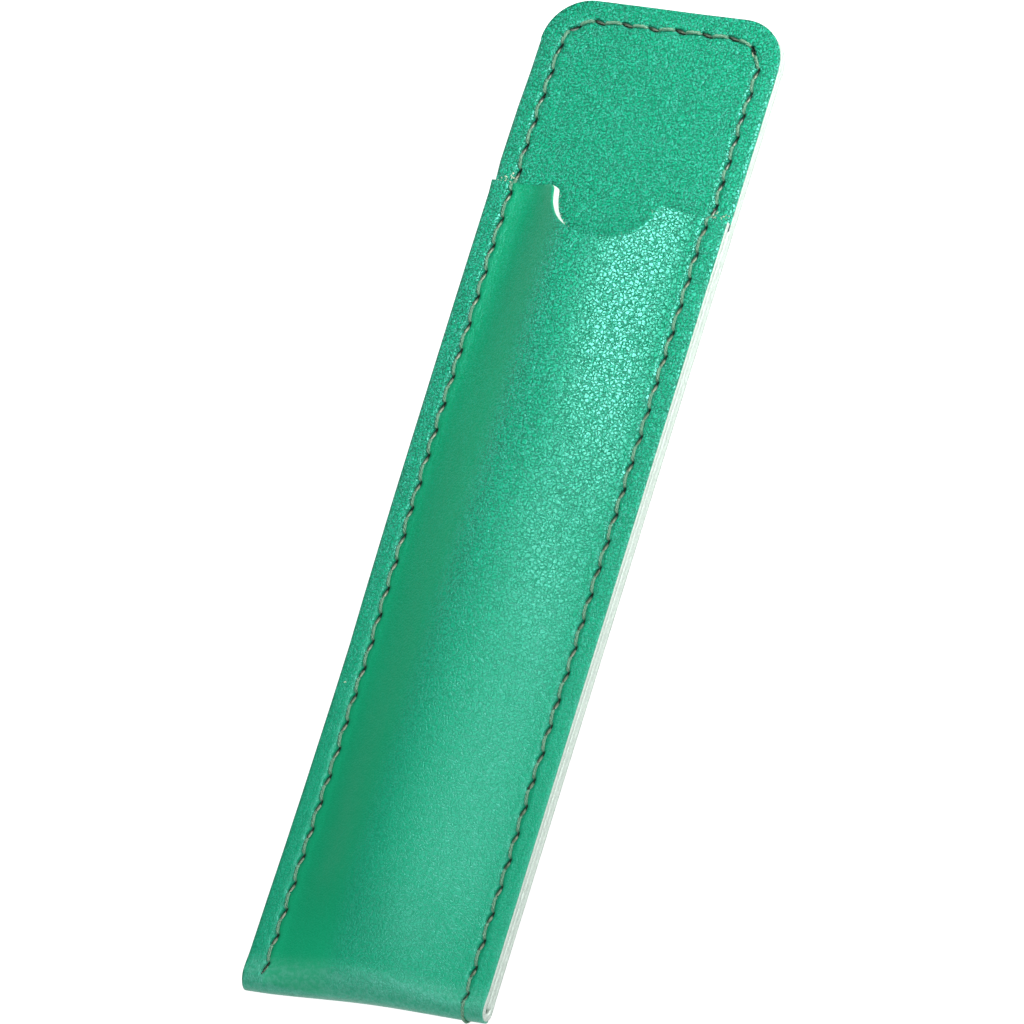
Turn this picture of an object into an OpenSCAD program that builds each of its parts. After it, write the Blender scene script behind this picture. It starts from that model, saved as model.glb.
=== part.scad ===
/* [Sleeve] */
// Width across the two long cut edges
sleeve_w = 39; // [32:0.5:60]
// Height of the pocket mouth above the folded bottom, on the centre line
pocket_h = 132.2; // [100:0.1:160]
// Height of the tab above the pocket mouth, on the centre line
tab_h = 32.8; // [26:0.1:60]
// Radius of the tab's two rounded corners
tab_corner_r = 7.2; // [4:0.1:10]
// Slope of the mouth's cut in degrees, with the left end higher
mouth_tilt = 2.6; // [-4:0.1:4]

/* [Leather] */
// Thickness of the green film
film_t = 0.3; // [0.2:0.05:0.5]
// Thickness of the white base that the film is coated on
base_t = 1; // [0.6:0.05:1.8]
// Thickness of the glue between two layers
glue_t = 0.1; // [0.05:0.05:0.3]
// How far the glue stays in from the cut edges
glue_inset = 0.4; // [0.2:0.1:1.5]
// Gap that keeps the glue behind the inner panel off the back
glue_gap = 0.01; // [0:0.01:0.05]
// Gap between the inner panel's lower end and the inside of the fold
fold_gap = 0.3; // [0.1:0.1:1]

/* [Pocket] */
// Rise of the pocket's front at the mouth
dome_mouth = 5.3; // [4.5:0.1:10]
// Rise of the pocket's front along its middle
dome_mid = 4.9; // [4.3:0.1:9]
// Rise of the pocket's front just above the fold
dome_foot = 2.2; // [1:0.1:4]
// Length over which the front rises from the fold to its full height
dome_foot_l = 17; // [8:1:40]
// Length below the mouth over which the front takes the mouth's shape
dome_mouth_l = 42; // [20:1:80]
// Distance of the crown from the centre line along the middle
crown_mid_x = -1; // [-3:0.1:3]
// Distance of the crown from the centre line at the mouth
crown_mouth_x = -2.4; // [-4:0.1:4]
// Fullness of the front along the middle, where a higher number leaves flatter flanks
dome_mid_power = 1.35; // [1:0.05:2]
// Fullness of the front at the mouth, on the crown's left
dome_mouth_power = 2.6; // [1:0.05:3]
// Fullness of the front at the mouth, on the crown's right
dome_right_power = 1.6; // [1:0.05:3]
// How much longer the round of the fold is at the crown than at the margins
foot_round = 2; // [0:0.1:4]

/* [Thumb notch] */
// Width between the tops of the two shoulders
notch_w = 19.2; // [16:0.1:22]
// Depth below the mouth
notch_depth = 8.3; // [4:0.1:9]
// Radius of each shoulder
notch_shoulder_r = 1.2; // [1:0.1:3]
// Distance of the notch's middle from the centre line
notch_x = 0.3; // [-2:0.1:2]

/* [Stitching] */
// Distance of the seam from the cut edges
seam_inset = 3.3; // [2.5:0.1:5]
// Radius of the seam round the tab's corners
seam_corner_r = 5.2; // [3:0.1:7]
// Height of the lowest needle holes above the round of the fold
seam_foot_gap = 0.65; // [0.5:0.05:3]
// Longest distance between two needle holes
stitch_pitch = 4.5; // [3:0.1:6]
// Width of the thread
thread_w = 0.7; // [0.5:0.05:0.8]
// How far the thread stands out of the leather on either face
stitch_proud = 0.45; // [0.3:0.05:0.7]
// Diameter of a needle hole
hole_d = 1.1; // [1:0.05:1.4]
// Flat strip of the front between the seam and the foot of the pocket's rise
seam_to_dome = 0.6; // [0.6:0.1:2]

/* [Glue beads] */
// Height of the glue squeezed out at each end of the mouth
bead_h = 0.35; // [0.2:0.05:0.6]
// How far the glue under the front's margins shows past the mouth
glue_show = 0.15; // [0.1:0.05:0.3]

/* [Hidden] */
$fn = 48;

across_steps = 18;
fold_steps = 8;
front_steps = 22;
cut_over = 1;
// Space between a stitch's end and the axis of its hole
end_gap = 0.12;
// Space between the corners of a stitch's end and the wall of its hole
end_clearance = 0.02;
// How far a stitch's end dips into its hole
dip_depth = 0.3;
// Distance from the hole at which a stitch lies at its full height
slope_l = 0.8;
// Length of a stitch's step over the mouth's edge, and its distance from that edge
step_l = 0.4;
step_gap = 0.15;
// Width of the thread inside a hole, as a share of its width outside
leg_share = 0.86;

sleeve_l = pocket_h + tab_h;
half_w = sleeve_w / 2;
ply_t = film_t + base_t;
back_z = stitch_proud;
panel_z = back_z + ply_t + glue_t;
tab_z = panel_z + ply_t;
front_z = tab_z + glue_t + ply_t;
fold_r = (front_z - back_z) / 2;
foot_y = (stitch_proud - sleeve_l) / 2;
seam_x = half_w - seam_inset;
seam_foot = fold_r + seam_foot_gap;
dome_half_w = seam_x - seam_to_dome;
leg_w = thread_w * leg_share;
end_l = sqrt(pow(hole_d / 2, 2) - pow(thread_w / 2, 2)) - end_clearance;
glue_x = half_w - glue_inset;
panel_foot = fold_r + fold_gap;
bead_r = (glue_x - seam_x - hole_d / 2) / 2;
top_z = front_z + max(dome_mouth, dome_mid) + cut_over;

function clamp(t) = min(1, max(0, t));
function ease(t) = clamp(t) * clamp(t) * (3 - 2 * clamp(t));
function mix(a, b, t) = a + (b - a) * t;

// Heights h are measured up from the folded bottom
function mouth_h(x) = pocket_h - x * tan(mouth_tilt);
function mouth_share(h) = ease(1 - (pocket_h - h) / dome_mouth_l);
function foot_share(h) = ease((h - fold_r) / dome_foot_l);
function crown_rise(h) = mix(mix(dome_foot, dome_mid, foot_share(h)), dome_mouth, mouth_share(h));
function crown_x(h) = mix(crown_mid_x, crown_mouth_x, mouth_share(h));
function dome_power(x, h) =
    mix(dome_mid_power, x < crown_x(h) ? dome_mouth_power : dome_right_power, mouth_share(h));
function flank(x, c) = x < c ? (x + dome_half_w) / (c + dome_half_w) : (dome_half_w - x) / (dome_half_w - c);
function bump(x, h) = pow(sin(90 * clamp(flank(x, crown_x(h)))), dome_power(x, h));
function fold_top(x) = fold_r + foot_round * bump(x, fold_r);

// A point of the outer strip, at a depth d below its outer face
function back_point(x, h, d) = [x, foot_y + h, back_z + d];
function front_point(x, t, d) =
    let (h = mix(fold_top(x), mouth_h(x), t))
    [x, foot_y + h, front_z - d + crown_rise(h) * bump(x, h)];
function fold_point(x, a, d) =
    let (rise = front_point(x, 0, 0)[2] - front_z,
         h = fold_r - (fold_r - d) * cos(a) + (fold_top(x) - fold_r) * pow(max(0, sin(a)), 2),
         z = back_z + d + (2 * (fold_r - d) + rise) * (1 + sin(a)) / 2)
    [x, foot_y + h, z];

columns = [-half_w, for (i = [0:across_steps]) dome_half_w * (2 * i / across_steps - 1), half_w];
function strip_rows(d) = concat(
    [[for (x = columns) back_point(x, sleeve_l, d)]],
    [for (i = [0:fold_steps]) [for (x = columns) fold_point(x, 180 * i / fold_steps - 90, d)]],
    [for (i = [1:front_steps])
        [for (x = columns) front_point(x, (1 - cos(180 * i / front_steps)) / 2, d)]]);

function flat(rows) = [for (row = rows) for (p = row) p];
function two_tris(a, b, c, d) = [[a, b, c], [a, c, d]];

// A closed sheet between two grids of points with the same number of rows and columns
module sheet(outer_rows, inner_rows) {
    n = len(outer_rows);
    m = len(outer_rows[0]);
    s = n * m;
    faces = [
        for (i = [0:n - 2]) for (j = [0:m - 2])
            each two_tris(i * m + j, i * m + j + 1, (i + 1) * m + j + 1, (i + 1) * m + j),
        for (i = [0:n - 2]) for (j = [0:m - 2])
            each two_tris(s + (i + 1) * m + j, s + (i + 1) * m + j + 1, s + i * m + j + 1, s + i * m + j),
        for (i = [0:n - 2])
            each two_tris(i * m, (i + 1) * m, s + (i + 1) * m, s + i * m),
        for (i = [0:n - 2])
            each two_tris(s + i * m + m - 1, s + (i + 1) * m + m - 1, (i + 1) * m + m - 1, i * m + m - 1),
        for (j = [0:m - 2])
            each two_tris(j, s + j, s + j + 1, j + 1),
        for (j = [0:m - 2])
            each two_tris((n - 1) * m + j + 1, s + (n - 1) * m + j + 1, s + (n - 1) * m + j, (n - 1) * m + j)
    ];
    polyhedron(points = concat(flat(outer_rows), flat(inner_rows)), faces = faces);
}

// The seam runs up the left edge, round the tab and down the right edge.
// One stitch crosses each end of the mouth
corner_x = seam_x - seam_corner_r;
corner_h = sleeve_l - seam_inset - seam_corner_r;
corner_n = ceil(90 * PI / 180 * seam_corner_r / stitch_pitch);
top_n = ceil(2 * corner_x / stitch_pitch);
function steps(from, to) = let (n = ceil((to - from) / stitch_pitch)) [for (i = [0:n]) mix(from, to, i / n)];
function side_heights(x) = concat(steps(seam_foot, mouth_h(x) - stitch_pitch / 2),
                                  steps(mouth_h(x) + stitch_pitch / 2, corner_h));
function corner_hole(side, a) =
    [side * (corner_x + seam_corner_r * sin(a)), corner_h + seam_corner_r * cos(a)];
left_heights = side_heights(-seam_x);
right_heights = side_heights(seam_x);
holes = concat(
    [for (h = left_heights) [-seam_x, h]],
    [for (i = [1:corner_n]) corner_hole(-1, 90 - 90 * i / corner_n)],
    [for (i = [1:top_n]) [corner_x * (2 * i / top_n - 1), sleeve_l - seam_inset]],
    [for (i = [1:corner_n]) corner_hole(1, 90 * i / corner_n)],
    [for (i = [len(right_heights) - 2:-1:0]) [seam_x, right_heights[i]]]);

function in_pocket(p) = p[1] < mouth_h(p[0]);
function face_z(p) = in_pocket(p) ? front_z : tab_z;
function lock_z(p) = (back_z + face_z(p)) / 2;

module at_hole(p) {
    translate([p[0], foot_y + p[1], 0]) children();
}

module needle_holes() {
    for (p = holes)
        at_hole(p) translate([0, 0, -cut_over]) cylinder(d = hole_d, h = top_z + cut_over);
}

// Plan of the back and of the inner panel, from a height above the fold to the tab's rounded top
module plan(from_h, inset) {
    r = tab_corner_r - inset;
    w = half_w - inset;
    top = foot_y + sleeve_l - inset;
    union() {
        translate([-w, foot_y + from_h]) square([2 * w, top - r - foot_y - from_h]);
        translate([r - w, top - r - cut_over]) square([2 * (w - r), r + cut_over]);
        for (side = [-1, 1]) translate([side * (w - r), top - r]) circle(r = r);
    }
}

module tab_corners() {
    for (side = [-1, 1])
        translate([side * (half_w - tab_corner_r), foot_y + sleeve_l - tab_corner_r, -cut_over])
            difference() {
                translate([side > 0 ? 0 : -tab_corner_r - cut_over, 0, 0])
                    cube([tab_corner_r + cut_over, tab_corner_r + cut_over, tab_z + cut_over]);
                translate([0, 0, -cut_over]) cylinder(r = tab_corner_r, h = tab_z + 3 * cut_over);
            }
}

// The notch is one arc that runs into the mouth over two rounded shoulders
shoulder_drop = (pow(notch_w / 2, 2) - pow(notch_depth, 2)) / (2 * notch_depth);
notch_r = notch_depth + shoulder_drop - notch_shoulder_r;
notch_centre = shoulder_drop - notch_shoulder_r;
meet = notch_shoulder_r / (notch_r + notch_shoulder_r);
meet_x = notch_w / 2 * (1 - meet);
meet_y = mix(-notch_shoulder_r, notch_centre, meet);
module notch_cut() {
    translate([notch_x, foot_y + mouth_h(notch_x), tab_z + glue_t]) rotate([0, 0, -mouth_tilt])
        linear_extrude(height = top_z) union() {
            translate([0, notch_centre]) circle(r = notch_r);
            difference() {
                polygon([[-meet_x, meet_y], [meet_x, meet_y], [notch_w / 2, 0], [notch_w / 2, cut_over],
                         [-notch_w / 2, cut_over], [-notch_w / 2, 0]]);
                for (side = [-1, 1])
                    translate([side * notch_w / 2, -notch_shoulder_r]) circle(r = notch_shoulder_r);
            }
        }
}

module strip_layer(outer_d, inner_d) {
    difference() {
        sheet(strip_rows(outer_d), strip_rows(inner_d));
        tab_corners();
        notch_cut();
        needle_holes();
    }
}

module panel_layer(bottom_z, thickness, inset) {
    difference() {
        translate([0, 0, bottom_z]) linear_extrude(height = thickness)
            plan(panel_foot, inset);
        needle_holes();
    }
}

module margin_glue(side) {
    inner_x = side * dome_half_w;
    outer_x = side * glue_x;
    bead_x = side * (glue_x - bead_r);
    difference() {
        union() {
            translate([0, foot_y, tab_z]) linear_extrude(height = glue_t)
                polygon([[inner_x, panel_foot], [outer_x, panel_foot],
                         [outer_x, mouth_h(outer_x) + glue_show], [inner_x, mouth_h(inner_x) + glue_show]]);
            translate([bead_x, foot_y + mouth_h(bead_x), tab_z]) rotate([0, 0, -mouth_tilt]) intersection() {
                cylinder(r1 = bead_r, r2 = bead_r - bead_h, h = bead_h);
                translate([-bead_r, 0, 0]) cube([2 * bead_r, bead_r, bead_h]);
            }
        }
        needle_holes();
    }
}

// One stitch from a to b, drawn in its own upright plane: along the line between them and up
module stitch(a, b, profile) {
    at_hole(a) rotate([0, 0, atan2(b[1] - a[1], b[0] - a[0])]) rotate([90, 0, 0])
        translate([0, 0, -thread_w / 2]) linear_extrude(height = thread_w) polygon(profile);
}

// The outline of a stitch of length l whose ends lie on faces at za and zb, with a step at its middle
function needle_profile(l, za, zb) =
    let (way = sign(za - zb),
         low_step = way == 0 ? [] : [[l / 2 + (way > 0 ? step_gap : -step_gap - step_l), za],
                                     [l / 2 + (way > 0 ? step_gap + step_l : -step_gap), zb]],
         top_step = [for (p = low_step) p + [way * step_gap * 2, stitch_proud]])
    concat([[end_gap, za - dip_depth], [end_l, za - dip_depth], [end_l, za]], low_step,
           [[l - end_l, zb], [l - end_l, zb - dip_depth], [l - end_gap, zb - dip_depth], [l - end_gap, zb]],
           [[l - slope_l, zb + stitch_proud]],
           way == 0 ? [] : [top_step[1], top_step[0]],
           [[slope_l, za + stitch_proud], [end_gap, za]]);
function bobbin_profile(l) =
    [[end_gap, back_z + dip_depth], [end_gap, back_z], [slope_l, 0], [l - slope_l, 0],
     [l - end_gap, back_z], [l - end_gap, back_z + dip_depth], [l - end_l, back_z + dip_depth],
     [l - end_l, back_z], [end_l, back_z], [end_l, back_z + dip_depth]];

// The needle thread ends on the right with a stitch that goes over the fold, drawn as height and z
function fold_arc(r) = [for (i = [0:fold_steps]) let (a = 180 * i / fold_steps - 90)
    [fold_r - r * cos(a), back_z + fold_r + r * sin(a)]];
function reversed(list) = [for (i = [len(list) - 1:-1:0]) list[i]];
wrap_profile = concat(
    fold_arc(fold_r),
    [[seam_foot - end_l, front_z], [seam_foot - end_l, front_z - dip_depth],
     [seam_foot - end_gap, front_z - dip_depth], [seam_foot - end_gap, front_z]],
    reversed(fold_arc(fold_r + stitch_proud)));

module outer_strip_film() {
    color("mediumseagreen") strip_layer(0, film_t);
}

module outer_strip_base() {
    color("white") strip_layer(film_t, ply_t);
}

module inner_panel_film() {
    color("mediumseagreen") panel_layer(panel_z + base_t, film_t, 0);
}

module inner_panel_base() {
    color("white") panel_layer(panel_z, base_t, 0);
}

module panel_glue() {
    color("ivory") panel_layer(panel_z - glue_t + glue_gap, glue_t - glue_gap, glue_inset);
}

module left_margin_glue() {
    color("ivory") margin_glue(-1);
}

module right_margin_glue() {
    color("ivory") margin_glue(1);
}

module needle_thread() {
    color("darkseagreen") union() {
        for (i = [0:len(holes) - 2])
            stitch(holes[i], holes[i + 1],
                   needle_profile(norm(holes[i + 1] - holes[i]), face_z(holes[i]), face_z(holes[i + 1])));
        for (p = holes) at_hole(p) translate([0, 0, lock_z(p)])
            cylinder(d = leg_w, h = face_z(p) - dip_depth / 2 - lock_z(p));
        stitch([seam_x, 0], [seam_x, 1], wrap_profile);
    }
}

module bobbin_thread() {
    color("darkseagreen") union() {
        for (i = [0:len(holes) - 2])
            stitch(holes[i], holes[i + 1], bobbin_profile(norm(holes[i + 1] - holes[i])));
        for (p = holes) at_hole(p) translate([0, 0, back_z + dip_depth / 2])
            cylinder(d = leg_w, h = lock_z(p) - back_z - dip_depth / 2);
    }
}

outer_strip_film();
outer_strip_base();
inner_panel_film();
inner_panel_base();
panel_glue();
left_margin_glue();
right_margin_glue();
needle_thread();
bobbin_thread();
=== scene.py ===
"""A single pen sleeve: a stitched leather pocket with a thumb notch and a flat rounded tab.

Shapes are worked out in millimetres in the CAD's frame. Materials, lights and the camera are in metres.
"""
import math

import bpy
import numpy as np
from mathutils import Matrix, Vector
from mathutils.geometry import delaunay_2d_cdt


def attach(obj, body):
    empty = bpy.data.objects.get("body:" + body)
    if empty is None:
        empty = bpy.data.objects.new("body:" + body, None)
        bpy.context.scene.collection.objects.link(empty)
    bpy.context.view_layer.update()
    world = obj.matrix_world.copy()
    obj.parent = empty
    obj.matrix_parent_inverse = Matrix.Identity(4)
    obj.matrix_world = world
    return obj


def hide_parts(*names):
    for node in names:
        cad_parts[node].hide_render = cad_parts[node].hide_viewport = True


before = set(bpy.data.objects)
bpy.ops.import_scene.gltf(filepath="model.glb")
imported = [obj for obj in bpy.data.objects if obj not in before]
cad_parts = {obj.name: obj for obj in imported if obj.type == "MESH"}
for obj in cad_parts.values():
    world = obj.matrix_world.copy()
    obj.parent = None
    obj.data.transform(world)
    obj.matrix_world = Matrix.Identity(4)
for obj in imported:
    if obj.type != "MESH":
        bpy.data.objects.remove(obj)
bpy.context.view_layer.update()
rng = np.random.default_rng(7)
MM = 0.001

# The sleeve's form, as in the CAD source
SLEEVE_W, POCKET_H, TAB_H, TAB_CORNER_R, MOUTH_TILT = 39.0, 132.2, 32.8, 7.2, 2.6
FILM_T, BASE_T, GLUE_T, GLUE_INSET, FOLD_GAP = 0.3, 1.0, 0.1, 0.4, 0.3
DOME_MOUTH, DOME_MID, DOME_FOOT, DOME_FOOT_L, DOME_MOUTH_L = 5.3, 4.9, 2.2, 17.0, 42.0
CROWN_MID_X, CROWN_MOUTH_X, MID_POWER, MOUTH_POWER, RIGHT_POWER = -1.0, -2.4, 1.35, 2.6, 1.6
FOOT_ROUND = 2.0
NOTCH_W, NOTCH_DEPTH, NOTCH_SHOULDER_R, NOTCH_X = 19.2, 8.3, 1.2, 0.3
SEAM_INSET, SEAM_CORNER_R, SEAM_FOOT_GAP, STITCH_PITCH = 3.3, 5.2, 0.65, 4.5
STITCH_PROUD, SEAM_TO_DOME = 0.45, 0.6

SLEEVE_L = POCKET_H + TAB_H
HALF_W = SLEEVE_W / 2
PLY_T = FILM_T + BASE_T
BACK_Z = STITCH_PROUD
PANEL_Z = BACK_Z + PLY_T + GLUE_T
TAB_Z = PANEL_Z + PLY_T
FRONT_Z = TAB_Z + GLUE_T + PLY_T
FOLD_R = (FRONT_Z - BACK_Z) / 2
FOOT_Y = (STITCH_PROUD - SLEEVE_L) / 2
SEAM_X = HALF_W - SEAM_INSET
SEAM_FOOT = FOLD_R + SEAM_FOOT_GAP
DOME_HALF_W = SEAM_X - SEAM_TO_DOME
FOLD_L = math.pi * FOLD_R
TILT = math.tan(math.radians(MOUTH_TILT))


def ease(t):
    """0 to 1 with a soft start and a soft end."""
    t = np.clip(t, 0, 1)
    return t * t * (3 - 2 * t)


def mix(a, b, t):
    return a + (b - a) * t


def mouth_h(x):
    return POCKET_H - x * TILT


def mouth_share(h):
    """How much the dome has its mouth's shape: 1 at the mouth, 0 in the middle of the sleeve."""
    return ease(1 - (POCKET_H - h) / DOME_MOUTH_L)


def crown_rise(h):
    return mix(mix(DOME_FOOT, DOME_MID, ease((h - FOLD_R) / DOME_FOOT_L)), DOME_MOUTH, mouth_share(h))


def bump(x, h):
    """The dome's height at x as a share of its crown's."""
    c = mix(CROWN_MID_X, CROWN_MOUTH_X, mouth_share(h))
    flank = np.where(x < c, (x + DOME_HALF_W) / (c + DOME_HALF_W), (DOME_HALF_W - x) / (DOME_HALF_W - c))
    power = mix(MID_POWER, np.where(x < c, MOUTH_POWER, RIGHT_POWER), mouth_share(h))
    return np.sin(np.pi / 2 * np.clip(flank, 0, 1)) ** power


def fold_top(x):
    return FOLD_R + FOOT_ROUND * bump(x, np.full_like(x, FOLD_R))


# The notch's depth below the mouth at each x, as an arc that runs into the mouth over two rounded shoulders
SHOULDER_DROP = ((NOTCH_W / 2) ** 2 - NOTCH_DEPTH ** 2) / (2 * NOTCH_DEPTH)
NOTCH_R = NOTCH_DEPTH + SHOULDER_DROP - NOTCH_SHOULDER_R
NOTCH_CENTRE = SHOULDER_DROP - NOTCH_SHOULDER_R
MEET_X = NOTCH_W / 2 * (1 - NOTCH_SHOULDER_R / (NOTCH_R + NOTCH_SHOULDER_R))


def notch_drop(x):
    a = np.abs(x - NOTCH_X)
    arc = np.sqrt(np.maximum(NOTCH_R ** 2 - a ** 2, 0)) - NOTCH_CENTRE
    shoulder = NOTCH_SHOULDER_R - np.sqrt(np.maximum(NOTCH_SHOULDER_R ** 2 - (NOTCH_W / 2 - a) ** 2, 0))
    return np.where(a < MEET_X, arc, np.where(a < NOTCH_W / 2, shoulder, 0))


def edge_h(x):
    """The height of the front's cut edge: the tilted mouth with the notch in it."""
    return mouth_h(x) - notch_drop(x)


# The seam and its slots
CORNER_X = SEAM_X - SEAM_CORNER_R
CORNER_H = SLEEVE_L - SEAM_INSET - SEAM_CORNER_R


def steps(low, high):
    """Even steps of about a stitch between two heights."""
    n = math.ceil((high - low) / STITCH_PITCH)
    return [mix(low, high, i / n) for i in range(n + 1)]


def side_heights(x):
    """The holes' heights along one side: below the mouth, and above it up to the round corner."""
    below = steps(SEAM_FOOT, mouth_h(x) - STITCH_PITCH / 2)
    above = steps(mouth_h(x) + STITCH_PITCH / 2, CORNER_H)
    return below + above


def seam_holes():
    """Each hole's x, h and direction of sewing: up the left edge, round the tab and down the right edge."""
    corner_n = math.ceil(math.pi / 2 * SEAM_CORNER_R / STITCH_PITCH)
    top_n = math.ceil(2 * CORNER_X / STITCH_PITCH)
    holes = [(-SEAM_X, h, 90.0) for h in side_heights(-SEAM_X)]
    for i in range(1, corner_n + 1):
        a = 90 - 90 * i / corner_n
        r = math.radians(a)
        holes.append((-(CORNER_X + SEAM_CORNER_R * math.sin(r)), CORNER_H + SEAM_CORNER_R * math.cos(r), a))
    holes += [(CORNER_X * (2 * i / top_n - 1), SLEEVE_L - SEAM_INSET, 0.0) for i in range(1, top_n + 1)]
    for i in range(1, corner_n + 1):
        a = 90 * i / corner_n
        r = math.radians(a)
        holes.append((CORNER_X + SEAM_CORNER_R * math.sin(r), CORNER_H + SEAM_CORNER_R * math.cos(r), -a))
    holes += [(SEAM_X, h, -90.0) for h in side_heights(SEAM_X)[-2::-1]]
    return np.array(holes)


# Each hole but the first and the last is a little out of place
HOLE_SLIP_X, HOLE_SLIP_H = 0.05, 0.09
HOLES = seam_holes()
HOLES[1:-1, 0] += rng.normal(0, HOLE_SLIP_X, len(HOLES) - 2)
HOLES[1:-1, 1] += rng.normal(0, HOLE_SLIP_H, len(HOLES) - 2)
IN_POCKET = HOLES[:, 1] < mouth_h(HOLES[:, 0])
ALONG = np.stack([np.cos(np.radians(HOLES[:, 2])), np.sin(np.radians(HOLES[:, 2]))], 1)
LEFT = np.stack([-ALONG[:, 1], ALONG[:, 0]], 1)
# A slot runs aslant between two stitches. SLOT_L and SLOT_W are half sizes, and a stitch ends at ENTRY
SLANT = math.radians(19.5)
SLOT_AXIS = math.cos(SLANT) * ALONG - math.sin(SLANT) * LEFT
ENTRY_AXIS = ALONG - 0.13 * LEFT
SLOT_L, SLOT_W, ENTRY = 1.12, 0.37, 0.95


def seam_distance(x, h):
    """Distance from the seam's line, which is straight at the sides and the top and has round corners."""
    ax = np.abs(x)
    side = np.abs(ax - SEAM_X) + np.maximum(h - CORNER_H, 0)
    top = np.abs(h - (SLEEVE_L - SEAM_INSET)) + np.maximum(ax - CORNER_X, 0)
    corner = np.abs(np.hypot(ax - CORNER_X, h - CORNER_H) - SEAM_CORNER_R)
    return np.where((ax > CORNER_X) & (h > CORNER_H), corner, np.minimum(side, top))


class Waves:
    """Smooth seeded unevenness: a sum of sine waves in random directions."""

    def __init__(self, size, count=9):
        angle = rng.uniform(0, 2 * np.pi, count)
        k = 2 * np.pi / (size * rng.uniform(0.6, 1.7, count))
        self.kx, self.ky, self.p = k * np.cos(angle), k * np.sin(angle), rng.uniform(0, 2 * np.pi, count)

    def __call__(self, x, y):
        total = np.zeros_like(x)
        for kx, ky, p in zip(self.kx, self.ky, self.p):
            total += np.sin(kx * x + ky * y + p)
        return total / math.sqrt(len(self.p) / 2)


SOFT, EDGE = Waves(22), Waves(1.1)

# The depth of the seam's groove, of the pucker at a hole and of a cut edge's curl, the height of the puff
# beside the seam, and how far each of them reaches
GROOVE, PUCKER, PUFF, CURL = 0.26, 0.25, 0.035, 0.20
GROOVE_W, PUCKER_L, PUCKER_W, PUCKER_REACH, PUFF_AT, CURL_W = 0.42, 1.15, 0.55, 2.2, 0.95, 0.6


def press(x, h, which):
    """How the leather lies: pulled down by the thread, puffed up beside it and rounded at the cut edge."""
    d = seam_distance(x, h)
    z = PUFF * np.exp(-(((d - PUFF_AT) / GROOVE_W) ** 2)) - GROOVE * np.exp(-((d / GROOVE_W) ** 2))
    for (hx, hh), axis in zip(HOLES[which, :2], SLOT_AXIS[which]):
        near = (np.abs(x - hx) < PUCKER_REACH) & (np.abs(h - hh) < PUCKER_REACH)
        if near.any():
            dx, dh = x[near] - hx, h[near] - hh
            along, across = dx * axis[0] + dh * axis[1], dh * axis[0] - dx * axis[1]
            z[near] -= PUCKER * np.exp(-((along / PUCKER_L) ** 2 + (across / PUCKER_W) ** 2))
    return z - CURL * np.exp(-(HALF_W - np.abs(x)) / CURL_W) * (h < SLEEVE_L - TAB_CORNER_R)


# The left cut edge isn't quite straight: how far it lies to the right of a straight one, by height
SIDE_H = [0, 7, 14, 22, 31, 47, 55, 63, 72, 80, 96, 113, 131, 137, 146, 152, 160]
LEFT_X = [0, 0.1, 0.2, 0.35, 0.46, 0.55, 0.55, 0.38, 0.25, 0.15, 0.06, -0.03, -0.03, -0.42, -0.32, -0.1, 0]


def sway(x, h):
    """x moved with the left edge's waves, which fade out towards the right edge."""
    return x + np.interp(h, SIDE_H, LEFT_X) * (HALF_W - x) / SLEEVE_W


# The outer strip: back, fold and domed front
EVERY = np.ones(len(HOLES), bool)
EDGE_TUCK, CORNER_TUCK, LEFT_HANG = 0.4, 0.15, 0.55
# The face's slow unevenness on the dome and on the panel, and how much of the seam's press the inside loses
DOME_UNEVEN, PANEL_UNEVEN, PRESS_LOSS = 0.06, 0.04, 0.6
FOLD_EASE = 3


def film_tuck(x, d):
    """How far a film that faces down or inwards lies back from the white base's cut edge."""
    return EDGE_TUCK * (d < FILM_T + 0.005) * ease(1 - (HALF_W - np.abs(x)) / 0.9)


def hang(x, h):
    """How far the fold hangs down at the left, where the real one isn't square to the sides."""
    return LEFT_HANG * ease((6 - x) / 24) * np.exp(-((h / 2.0) ** 2))


def dome_slope(x, h):
    """The dome's slope across the sleeve."""
    reach = 0.05
    return crown_rise(h) * (bump(x + reach, h) - bump(x - reach, h)) / (2 * reach)


def calm(d):
    """The share of the seam's press that is left at a depth in the leather."""
    return 1 - PRESS_LOSS * d / PLY_T


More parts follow.
